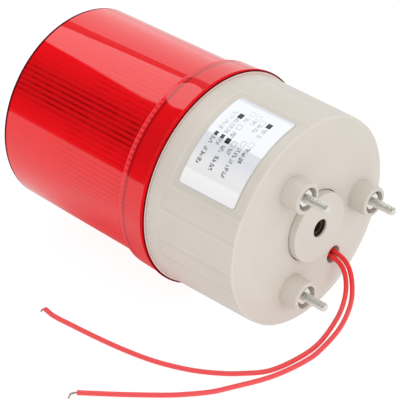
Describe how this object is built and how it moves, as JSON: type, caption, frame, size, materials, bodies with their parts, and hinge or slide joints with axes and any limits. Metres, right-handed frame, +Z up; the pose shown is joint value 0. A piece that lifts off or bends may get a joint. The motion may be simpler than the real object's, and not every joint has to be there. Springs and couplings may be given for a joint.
{
  "type": "flashing warning beacon",
  "caption": "Warning beacon with a red fluted twist-off lens, a grey base with threaded studs, a sounder behind its floor and loose supply leads.",
  "frame": {"origin": "centre of the stud circle, in the plane of the boss faces that meet the mounting surface", "axes": "+X along the beacon's axis from the lens to the studs, +Z up as it lies on its side, +Y to complete the set"},
  "size_m": [0.1637, 0.1595, 0.1012],
  "materials": {
    "lens_red": "clear red, polished outside and fluted inside",
    "gasket_rubber": "matt",
    "base_grey": "satin moulded",
    "label_white": "gloss printed film",
    "black_plastic": "moulded",
    "tinned_wire": "tinned",
    "zinc_steel": "zinc plated",
    "board_green": "solder mask",
    "capacitor_red": "dipped",
    "capacitor_blue": "sleeved",
    "resistor_tan": "lacquered",
    "white_plastic": "moulded",
    "board_white": "white solder mask",
    "emitter_yellow": "phosphor",
    "lead_red": "smooth insulation",
    "bare_copper": "stranded"
  },
  "bodies": {
    "base": {"base_housing": "base_grey", "lens_gasket": "gasket_rubber", "label": "label_white", "sounder_cap": "base_grey", "sounder_unit": "black_plastic", "sounder_pins": "tinned_wire", "mounting_screws": "zinc_steel", "stud_washers": "zinc_steel", "stud_nuts": "zinc_steel", "power_board": "board_green", "board_screws": "zinc_steel", "film_capacitor": "capacitor_red", "smoothing_capacitor": "capacitor_blue", "bridge_rectifier": "black_plastic", "flasher_chip": "black_plastic", "resistors": "resistor_tan", "lamp_header": "white_plastic", "lamp_wires": "lead_red", "lamp_plate": "white_plastic", "lamp_plate_screws": "zinc_steel", "led_column": "white_plastic", "column_screws": "zinc_steel", "led_boards": "board_white", "leds": "emitter_yellow", "lead_a": "lead_red", "lead_a_end": "bare_copper", "lead_b": "lead_red", "lead_b_end": "bare_copper"},
    "lens": {"lens": "lens_red"}
  },
  "joints": [
    {"name": "lens_twist", "type": "hinge", "parent": "base", "child": "lens", "pos_m": [0, 0, 0], "axis": [-1, 0, 0], "range_deg": [0, 24]}
  ]
}
